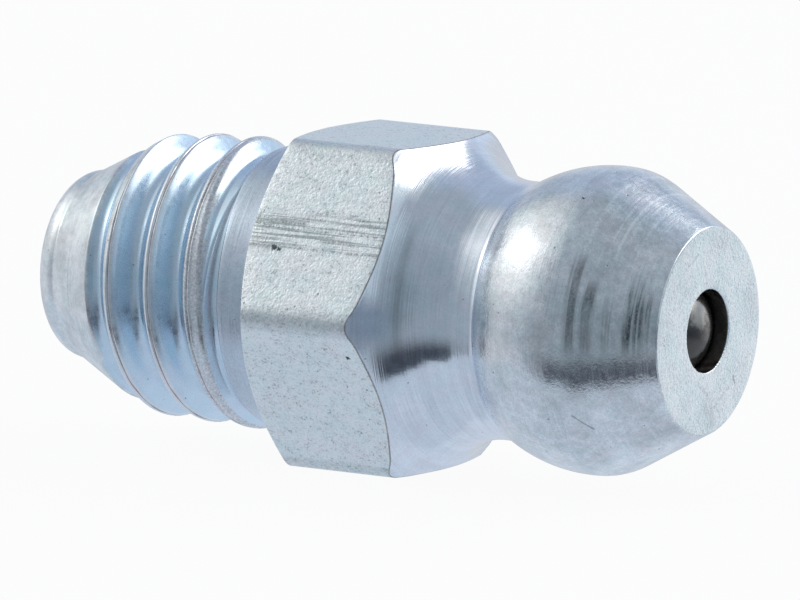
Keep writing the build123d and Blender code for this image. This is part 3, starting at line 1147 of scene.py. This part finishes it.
def nose_wear(tree, place, texture):
    """A grey smear below the orifice and a few short scratches."""
    soft = noise(tree, place.vector, 5.0, 3.0, 0.6)
    away = distance(tree, place.vector, (NOSE_FACE, *NOSE_SMEAR))
    smear = between(tree, away, *NOSE_SMEAR_FADE)
    smear = times(tree, smear, between(tree, soft, 0.35, 0.6, 0.2, 1.0))
    for start, end, strength in NOSE_NICKS:
        nick = scratch(tree, place, (NOSE_FACE, *start), (NOSE_FACE, *end), NOSE_NICK_WIDTH)
        smear = maths(tree, "MAXIMUM", smear, times(tree, nick, strength))
    return maths(tree, "SUBTRACT", 1.0, smear)


# Zinc on each kind of surface. The thread is the bluest, and the rough faces are the palest.
finishes = {
    "pilot": zinc(
        "zinc_pilot", (0.82, 0.86, 0.88), 0.34, grain=0.08, sparkle=0.0012, patches=0.16,
        rings=0.06, ring_height=0.002, speckled=0.08, pitted=0.12,
    ),
    "thread": zinc(
        "zinc_thread", (0.69, 0.83, 0.95), 0.26, grain=0.03, sparkle=0.0002, patches=0.05, pitted=0.06,
    ),
    "crest": zinc(
        "zinc_crest", (0.86, 0.89, 0.93), 0.32, grain=0.06, sparkle=0.0005, patches=0.06, pitted=0.06,
        rough_crest=(-2.0, -1.7, 0.28),
    ),
    # Dark zinc: the own tone of the crests' rolled seam, and painted shade in the crease at the foot of the
    # collar's shoulder.
    "seam": zinc("zinc_seam_and_painted_shade", (0.50, 0.45, 0.46), 0.42, grain=0.18, patches=0.15, pitted=0.0),
    "collar": zinc(
        "zinc_collar", (0.64, 0.71, 0.80), 0.30, grain=0.08, sparkle=0.0015, patches=0.06,
        rings=0.08, ring_height=0.004, spread=0.3, speckled=0.1, pitted=0.12,
    ),
    "seat": zinc(
        "zinc_seat", (0.80, 0.84, 0.88), 0.40, grain=0.08, patches=0.06,
        rings=0.05, ring_height=0.002, station=(0.0, 1.0),
    ),
    "flats": zinc(
        "zinc_flats", (0.93, 0.99, 1.0), 0.44, grain=0.16, sparkle=0.0060, patches=0.03,
        drawn=0.03, speckled=0.38, pitted=0.2, marks=FLAT_MARKS, wear_and_painted_light=[draw_scratches, darker_corners],
    ),
    "edge": zinc("zinc_edge", (0.50, 0.47, 0.46), 0.45, grain=0.25, sparkle=0.0008, patches=0.2),
    "flare": zinc(
        "zinc_flare", (0.79, 0.84, 0.91), 0.15, grain=0.05, sparkle=0.0004, patches=0.05,
        rings=0.06, ring_height=0.007, station=(1.0, -1.0), spread=0.5, speckled=0.05, pitted=0.08,
        wear_and_painted_light=[flare_dark_ring],
    ),
    "head": zinc(
        "zinc_head", (0.80, 0.84, 0.87), 0.24, grain=0.10, sparkle=0.0022, patches=0.16,
        rings=0.045, ring_height=0.003, spread=0.3, speckled=0.16, pitted=0.12, marks=HEAD_MARKS,
        wear_and_painted_light=[head_wear_and_painted_light], turned=(7.8, 8.3, 1.5),
    ),
    "nose": zinc(
        "zinc_nose", (0.90, 0.96, 0.98), 0.38, grain=0.16, sparkle=0.009, patches=0.10,
        rings=0.03, ring_height=0.0015, station=(0.0, 1.0), speckled=0.32, wear_and_painted_light=[nose_wear],
    ),
    # Dark zinc inside the orifice and bore: painted shade in the hole.
    "inside": zinc("zinc_inside_painted_shade", (0.22, 0.20, 0.18), 0.45, grain=0.2, sparkle=0.001, patches=0.2),
}

add_camera()
body = build_body([finishes[zone] for zone in ZONES])
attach(body, "nipple")
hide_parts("body")

ball = build_ball(ball_steel())
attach(ball, "ball")
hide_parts("check_ball")

spring = build_spring(spring_steel())
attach(spring, "nipple")
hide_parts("spring")
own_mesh(spring)

add_world()
add_softbox("softbox_left", azimuth=-72, elevation=37, away=300, width=135, height=90, level=0.95)
add_softbox("softbox_right", azimuth=141, elevation=37, away=300, width=270, height=130, level=1.3)
add_floor()
bpy.context.scene.view_settings.view_transform = "Standard"
